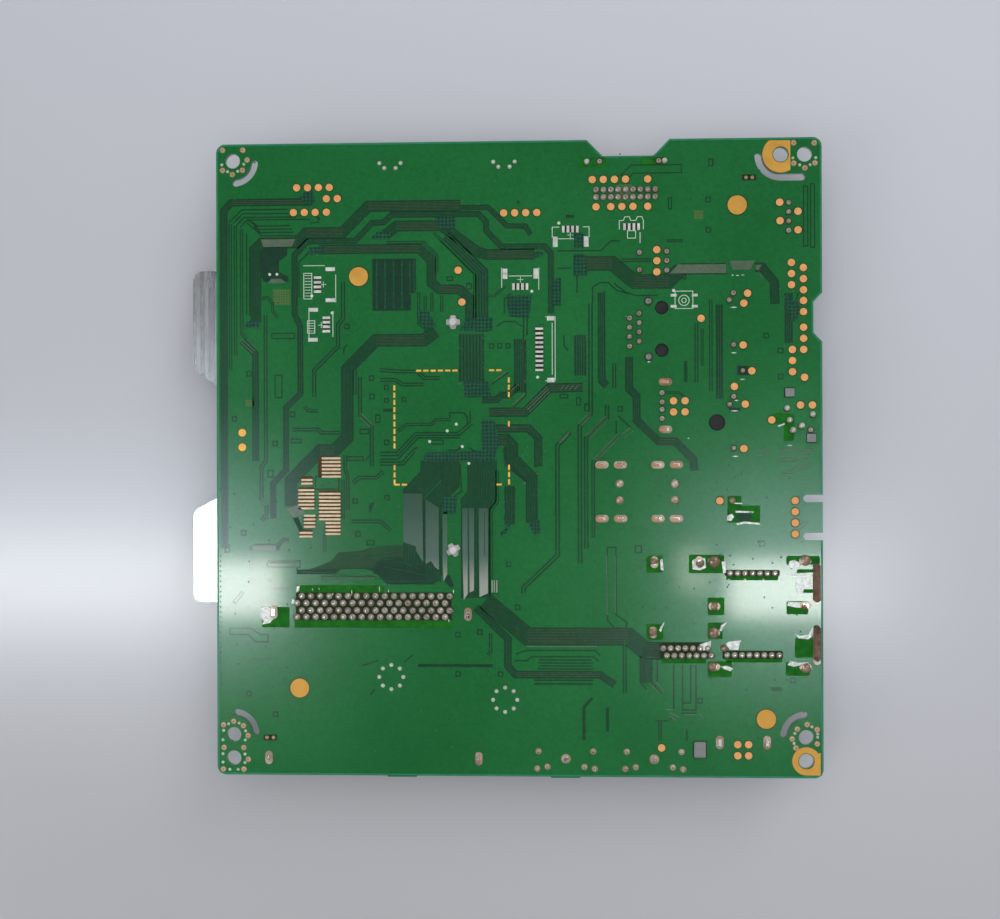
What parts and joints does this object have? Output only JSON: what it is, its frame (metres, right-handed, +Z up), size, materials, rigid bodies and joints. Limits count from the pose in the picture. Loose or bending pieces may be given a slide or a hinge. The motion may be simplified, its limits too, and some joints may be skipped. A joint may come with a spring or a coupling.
{
  "type": "tv main board",
  "caption": "Flat green circuit board lying component side down, with soldered sockets, card slot, tuners and an aluminium heat spreader under it.",
  "frame": {"origin": "middle of the bounding box's lowest face, on the surface that the tallest parts stand on", "axes": "+Z up through the board from the component side to the solder side, +X along the board's width away from the heat spreader's tabs, +Y along the board's depth towards the power header"},
  "size_m": [0.173, 0.1732, 0.0214],
  "materials": {
    "solder_mask": "glossy green solder mask over copper",
    "mask_tracks": "glossy green mask over raised tracks",
    "gold_pads": "gold-plated copper",
    "copper_pads": "copper test pads with a protective coat",
    "tinned_pads": "tinned pads",
    "comb_copper": "coated copper strips",
    "dash_copper": "coated copper dashes",
    "solder": "bright solder",
    "grey_ceramic": "grey ceramic",
    "aluminium_sheet": "brushed aluminium sheet",
    "thermal_pad": "soft thermal pad",
    "nylon": "white nylon",
    "spring_steel": "spring steel",
    "chip_black": "moulded chip package",
    "processor_grey": "moulded processor package",
    "capacitor_can": "drawn aluminium can",
    "black_plastic": "black moulding",
    "ferrite": "ferrite",
    "crystal_can": "plated crystal can",
    "ceramic_tan": "ceramic chip parts",
    "ivory_plastic": "ivory moulding",
    "white_plastic": "white moulding",
    "tinplate": "tin-plated steel",
    "lead_tin": "tinned leads",
    "jack_colours": "coloured jack insulators, yellow, white and red"
  },
  "bodies": {
    "root": {"circuit_board": "solder_mask", "copper_tracks": "mask_tracks", "ground_pads": "gold_pads", "test_pads": "copper_pads", "bare_footprints": "tinned_pads", "comb_pads": "comb_copper", "area_dashes": "dash_copper", "solder_dots": "solder", "pin_solder": "solder", "lug_solder": "solder", "trim_capacitors": "grey_ceramic", "heat_spreader": "aluminium_sheet", "thermal_pad": "thermal_pad", "push_pins": "nylon", "push_pin_springs": "spring_steel", "main_processor": "processor_grey", "memory_chips": "chip_black", "flash_memory": "chip_black", "sound_amplifier": "chip_black", "regulators": "chip_black", "capacitor_cans": "capacitor_can", "capacitor_bases": "black_plastic", "inductors": "ferrite", "crystal": "crystal_can", "small_parts": "ceramic_tan", "card_slot_header": "ivory_plastic", "card_slot_guide": "ivory_plastic", "card_slot_cover": "tinplate", "card_slot_pins": "lead_tin", "power_header": "ivory_plastic", "power_header_pins": "lead_tin", "speaker_header": "white_plastic", "speaker_header_pins": "lead_tin", "optical_output": "black_plastic", "optical_leads": "lead_tin", "network_jack_shell": "tinplate", "network_jack_insert": "black_plastic", "network_jack_pins": "lead_tin", "data_socket_shell": "tinplate", "data_socket_tongue": "white_plastic", "data_socket_pins": "lead_tin", "edge_socket_shell": "tinplate", "edge_socket_tongue": "white_plastic", "left_screen_shell": "tinplate", "left_screen_tongue": "black_plastic", "right_screen_shell": "tinplate", "right_screen_tongue": "black_plastic", "av_block": "black_plastic", "av_sleeves": "tinplate", "av_inserts": "jack_colours", "av_pins": "lead_tin", "side_jack": "black_plastic", "side_jack_pins": "lead_tin", "tuner_cans": "tinplate", "aerial_sockets": "tinplate", "tuner_pins": "lead_tin", "demodulator_can": "tinplate", "demodulator_pins": "lead_tin", "edge_jacks": "black_plastic", "edge_jack_pins": "lead_tin"}
  },
  "joints": []
}
